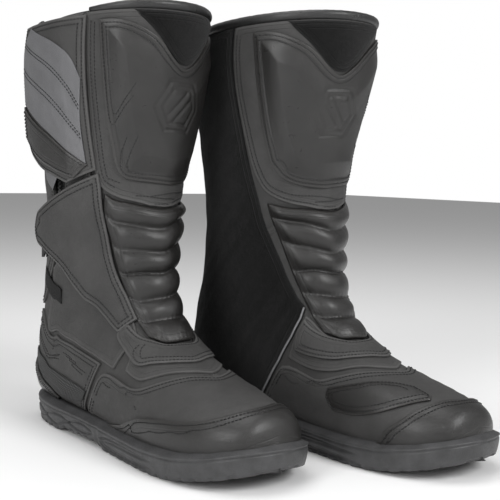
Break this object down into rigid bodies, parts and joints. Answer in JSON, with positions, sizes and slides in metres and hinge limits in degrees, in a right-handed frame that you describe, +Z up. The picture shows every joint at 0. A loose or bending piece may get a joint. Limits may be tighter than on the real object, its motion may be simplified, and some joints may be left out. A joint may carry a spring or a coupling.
{
  "type": "riding boots",
  "caption": "Pair of mid-calf motorcycle touring boots with a padded shin plate, ribbed instep bellows, side zip under a hook-and-loop flap and a stitched rubber sole.",
  "frame": {"origin": "on the floor, at the centre of the pair's bounding box in plan", "axes": "+Z up, toes towards -Y; the wearer's right boot is on the -X side and stands a little further back"},
  "size_m": [0.26, 0.3653, 0.3399],
  "materials": {
    "sole_rubber": "matte moulded rubber",
    "midsole_foam": "foam",
    "shank_steel": "satin",
    "fibre_board": "pressed fibre board",
    "footbed_foam": "fabric-topped foam",
    "matte_leather": "matte grained",
    "smooth_leather": "smooth semi-gloss",
    "suede": "napped",
    "stiffener_plastic": "matte",
    "mesh_fabric": "knitted mesh",
    "lining_fabric": "knitted membrane lining",
    "zip_tape_fabric": "woven",
    "zip_plastic": "moulded coil",
    "zip_metal": "dark coated",
    "reflective_fabric": "grey retroreflective",
    "loop_fabric": "brushed loop",
    "hook_plastic": "hook strip"
  },
  "bodies": {
    "right_boot": {"right_outsole": "sole_rubber", "right_midsole": "midsole_foam", "right_shank": "shank_steel", "right_insole_board": "fibre_board", "right_footbed": "footbed_foam", "right_toe_cap": "matte_leather", "right_stiffeners": "stiffener_plastic", "right_vamp": "matte_leather", "right_lateral_quarter": "matte_leather", "right_heel_cup": "smooth_leather", "right_heel_window": "mesh_fabric", "right_medial_panel": "suede", "right_lateral_panel": "matte_leather", "right_rear_panel": "matte_leather", "right_instep_cuff": "matte_leather", "right_accordion": "smooth_leather", "right_shin_border": "matte_leather", "right_shin_plate": "smooth_leather", "right_collar_insert": "suede", "right_collar_binding": "smooth_leather", "right_liner": "lining_fabric", "right_zip_tape": "zip_tape_fabric", "right_zip_teeth": "zip_plastic", "right_loop_pads": "loop_fabric"},
    "left_boot": {"left_outsole": "sole_rubber", "left_midsole": "midsole_foam", "left_shank": "shank_steel", "left_insole_board": "fibre_board", "left_footbed": "footbed_foam", "left_toe_cap": "matte_leather", "left_stiffeners": "stiffener_plastic", "left_vamp": "matte_leather", "left_lateral_quarter": "matte_leather", "left_heel_cup": "smooth_leather", "left_heel_window": "mesh_fabric", "left_medial_panel": "suede", "left_lateral_panel": "matte_leather", "left_rear_panel": "matte_leather", "left_instep_cuff": "matte_leather", "left_accordion": "smooth_leather", "left_shin_border": "matte_leather", "left_shin_plate": "smooth_leather", "left_collar_insert": "suede", "left_collar_binding": "smooth_leather", "left_liner": "lining_fabric", "left_zip_tape": "zip_tape_fabric", "left_zip_teeth": "zip_plastic", "left_loop_pads": "loop_fabric", "left_gear_pad": "matte_leather"},
    "right_flap": {"right_flap": "matte_leather", "right_flap_reflector": "reflective_fabric", "right_hook_pads": "hook_plastic"},
    "left_flap": {"left_flap": "matte_leather", "left_flap_reflector": "reflective_fabric", "left_hook_pads": "hook_plastic"},
    "right_zip_slider": {"right_zip_slider": "zip_metal", "right_zip_pull": "zip_metal"},
    "left_zip_slider": {"left_zip_slider": "zip_metal", "left_zip_pull": "zip_metal"}
  },
  "joints": [
    {"name": "left_boot_lift", "type": "slide", "parent": "right_boot", "child": "left_boot", "axis": [0, 0, 1], "range_m": [0, 0.42]},
    {"name": "right_flap_hinge", "type": "hinge", "parent": "right_boot", "child": "right_flap", "pos_m": [-0.10864, 0.0689, 0.19223], "axis": [-0.1, -0.0492, 0.9938], "range_deg": [0, 95]},
    {"name": "left_flap_hinge", "type": "hinge", "parent": "left_boot", "child": "left_flap", "pos_m": [0.10864, 0.0079, 0.19223], "axis": [-0.1, 0.0492, -0.9938], "range_deg": [0, 95]},
    {"name": "right_zip_slide", "type": "slide", "parent": "right_boot", "child": "right_zip_slider", "axis": [0.0773, 0.0541, -0.9955], "range_m": [0, 0.148]},
    {"name": "left_zip_slide", "type": "slide", "parent": "left_boot", "child": "left_zip_slider", "axis": [-0.0773, 0.0541, -0.9955], "range_m": [0, 0.148]}
  ]
}
